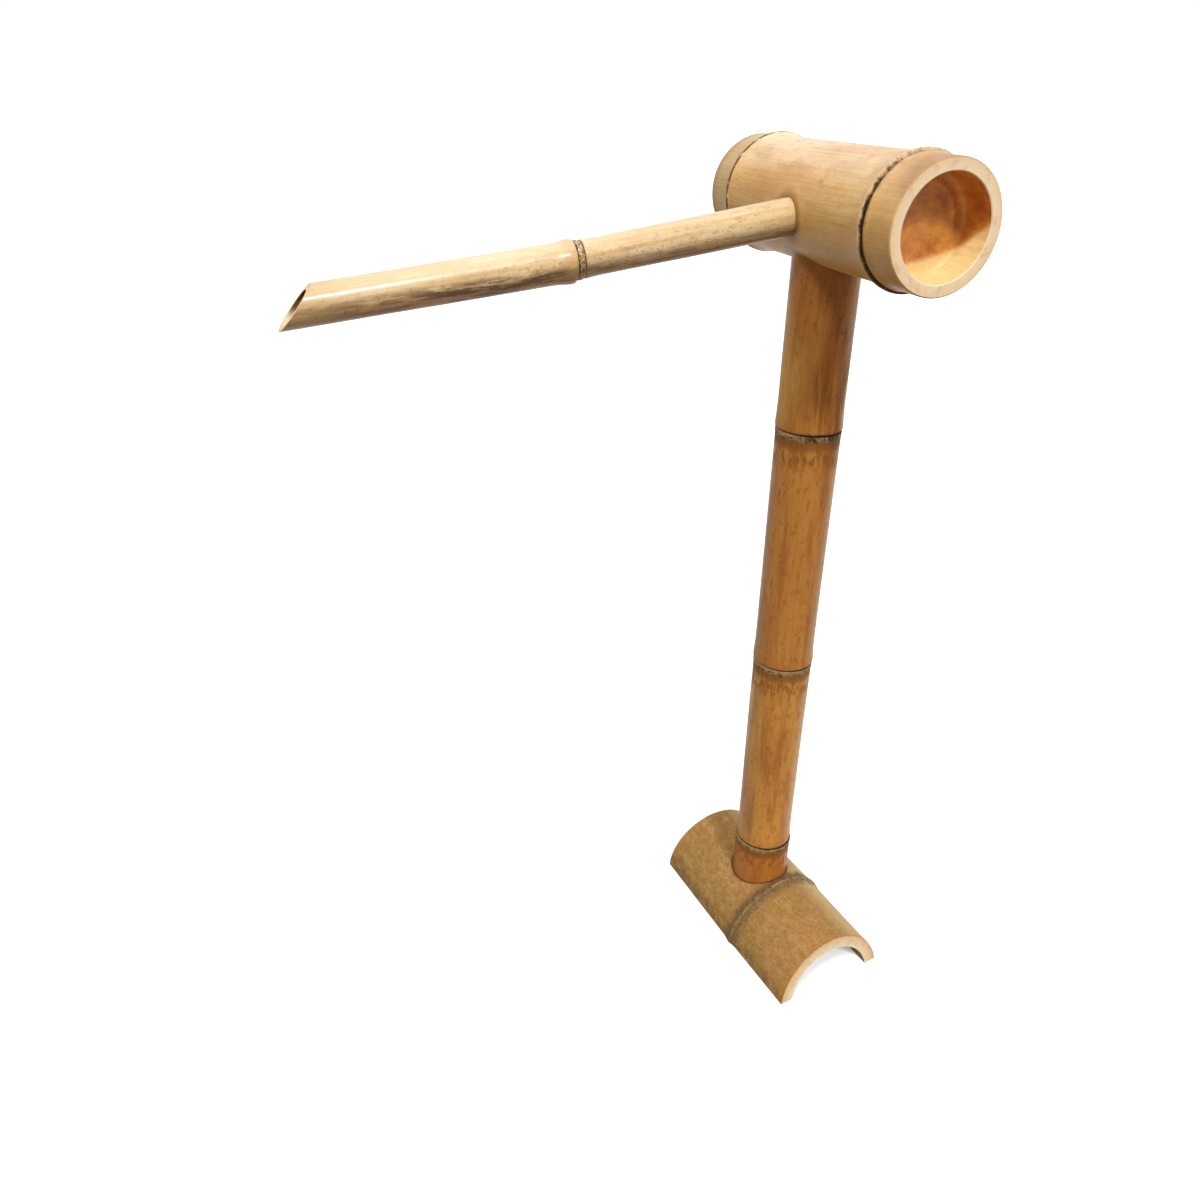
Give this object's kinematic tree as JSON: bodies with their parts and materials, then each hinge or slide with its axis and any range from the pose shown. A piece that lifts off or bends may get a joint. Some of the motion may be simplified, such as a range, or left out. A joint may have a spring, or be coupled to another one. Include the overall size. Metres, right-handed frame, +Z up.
{
  "type": "bamboo water spout",
  "caption": "Garden water spout of bamboo: a half-culm foot, an upright post and a drum-shaped head that carries a slanting spout cut to a lip.",
  "frame": {"origin": "middle of the bottom of the whole bounding box, on the ground", "axes": "+Z up along the post, the spout points along -X, the drum lies along Y with the end seen in the picture at -Y"},
  "size_m": [0.4814, 0.2488, 0.7619],
  "materials": {
    "foot_bamboo": "dry khaki-tan bamboo skin, matt and mottled, with a rough grey node",
    "post_bamboo": "amber-brown bamboo skin, satin, with darker lengthwise streaks",
    "drum_bamboo": "pale straw bamboo skin, satin, with dark broken sheath scars",
    "spout_bamboo": "pale glossy bamboo skin, stained grey-brown underneath",
    "clear_hose": "clear flexible PVC tube, slightly milky",
    "inlet_plastic": "black moulded plastic"
  },
  "bodies": {
    "base": {"foot": "foot_bamboo"},
    "column": {"post": "post_bamboo"},
    "head": {"drum": "drum_bamboo", "water_hose": "clear_hose", "hose_inlet": "inlet_plastic"},
    "spout_arm": {"spout": "spout_bamboo"}
  },
  "joints": [
    {"name": "post_lift", "type": "slide", "parent": "base", "child": "column", "axis": [0, 0, 1], "range_m": [0, 0.03]},
    {"name": "head_turn", "type": "hinge", "parent": "column", "child": "head", "pos_m": [0.16488, 0.00721, 0.69], "axis": [0, 0, 1], "range_deg": [-180, 180]},
    {"name": "spout_pull", "type": "slide", "parent": "head", "child": "spout_arm", "axis": [-0.9913, 0.019, -0.1305], "range_m": [0, 0.03]}
  ]
}
